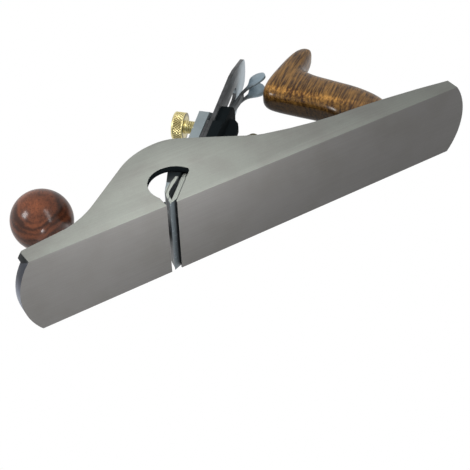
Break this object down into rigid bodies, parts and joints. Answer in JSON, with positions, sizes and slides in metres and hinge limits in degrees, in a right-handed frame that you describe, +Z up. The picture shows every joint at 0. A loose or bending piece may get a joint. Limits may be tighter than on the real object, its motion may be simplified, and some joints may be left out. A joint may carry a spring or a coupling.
{
  "type": "bench rabbet plane",
  "caption": "Metal bench plane for rabbets, with an iron as wide as the sole, arched open cheeks, an adjustable frog, a round wooden front knob and a wooden rear tote.",
  "frame": {"origin": "centre of the sole's bounding box, on the sole's face", "axes": "+X along the sole from toe to heel, +Y across it to the right-hand side as the user pushes, +Z up from the sole"},
  "size_m": [0.33, 0.054, 0.1366],
  "materials": {
    "ground_iron": "ground, with a satin sheen",
    "black_iron": "black japanning",
    "steel": "bright",
    "polished_steel": "polished",
    "lever_cap_steel": "satin",
    "brass": "polished, knurled on its rims",
    "rosewood": "oiled and polished",
    "figured_wood": "varnished"
  },
  "bodies": {
    "casting": {"body": "ground_iron", "frog_screws": "steel", "frog_washers": "steel", "front_knob": "rosewood", "knob_rod": "steel", "knob_nut": "brass", "rear_tote": "figured_wood", "tote_rod": "steel", "tote_nut": "brass", "tote_toe_screw": "brass"},
    "frog_block": {"frog": "black_iron", "frog_clip": "steel", "frog_clip_screw": "steel", "depth_stud": "steel", "depth_lever_pin": "steel", "lateral_pin": "steel", "lever_cap_screw": "steel"},
    "adjusting_screw": {"frog_adjusting_screw": "steel"},
    "cutter_carriage": {"cap_iron_screw": "steel"},
    "cutter": {"cutter_iron": "polished_steel", "cap_iron": "polished_steel"},
    "depth_yoke": {"depth_lever": "black_iron"},
    "depth_nut": {"depth_wheel": "brass"},
    "lateral_arm": {"lateral_lever": "steel", "roller_rivet": "steel"},
    "roller": {"lateral_roller": "steel"},
    "lever": {"lever_cap": "lever_cap_steel"},
    "thumb": {"thumb_screw": "brass"}
  },
  "joints": [
    {"name": "frog_slide", "type": "slide", "parent": "casting", "child": "frog_block", "axis": [1, 0, 0], "range_m": [-0.0012, 0]},
    {"name": "adjusting_screw_turn", "type": "hinge", "parent": "frog_block", "child": "adjusting_screw", "pos_m": [0.03, 0, 0.0144], "axis": [1, 0, 0], "range_deg": [-432, 0]},
    {"name": "cutter_feed", "type": "slide", "parent": "frog_block", "child": "cutter_carriage", "axis": [0.7071, 0, 0.7071], "range_m": [-0.0006, 0.0009]},
    {"name": "cutter_tilt", "type": "hinge", "parent": "cutter_carriage", "child": "cutter", "pos_m": [-0.0134, 0, 0.0495], "axis": [-0.7071, 0, 0.7071], "range_deg": [-1.9, 1.9]},
    {"name": "depth_lever_pivot", "type": "hinge", "parent": "frog_block", "child": "depth_yoke", "pos_m": [0.00795, 0, 0.0536], "axis": [0, 1, 0], "range_deg": [-2.2, 3.3]},
    {"name": "depth_wheel_turn", "type": "hinge", "parent": "frog_block", "child": "depth_nut", "pos_m": [0.015, 0, 0.038], "axis": [1, 0, 0], "range_deg": [-190, 285]},
    {"name": "lateral_lever_pivot", "type": "hinge", "parent": "frog_block", "child": "lateral_arm", "pos_m": [0.01983, 0, 0.08273], "axis": [-0.7071, 0, 0.7071], "range_deg": [-5, 5]},
    {"name": "roller_spin", "type": "hinge", "parent": "lateral_arm", "child": "roller", "pos_m": [0.01064, 0, 0.07354], "axis": [-0.7071, 0, 0.7071], "continuous": true},
    {"name": "lever_cap_slide", "type": "slide", "parent": "frog_block", "child": "lever", "axis": [0.7071, 0, 0.7071], "range_m": [0, 0.012]},
    {"name": "thumb_screw_turn", "type": "hinge", "parent": "lever", "child": "thumb", "pos_m": [0.01488, 0, 0.07778], "axis": [-0.7071, 0, 0.7071], "range_deg": [0, 540]}
  ],
  "couplings": [
    {"joint": "adjusting_screw_turn", "follows": "frog_slide", "rad_per_m": 6283.2},
    {"joint": "depth_wheel_turn", "follows": "cutter_feed", "rad_per_m": 5526.8},
    {"joint": "depth_lever_pivot", "follows": "cutter_feed", "rad_per_m": 62.5},
    {"joint": "lateral_lever_pivot", "follows": "cutter_tilt", "ratio": -2.6154}
  ]
}
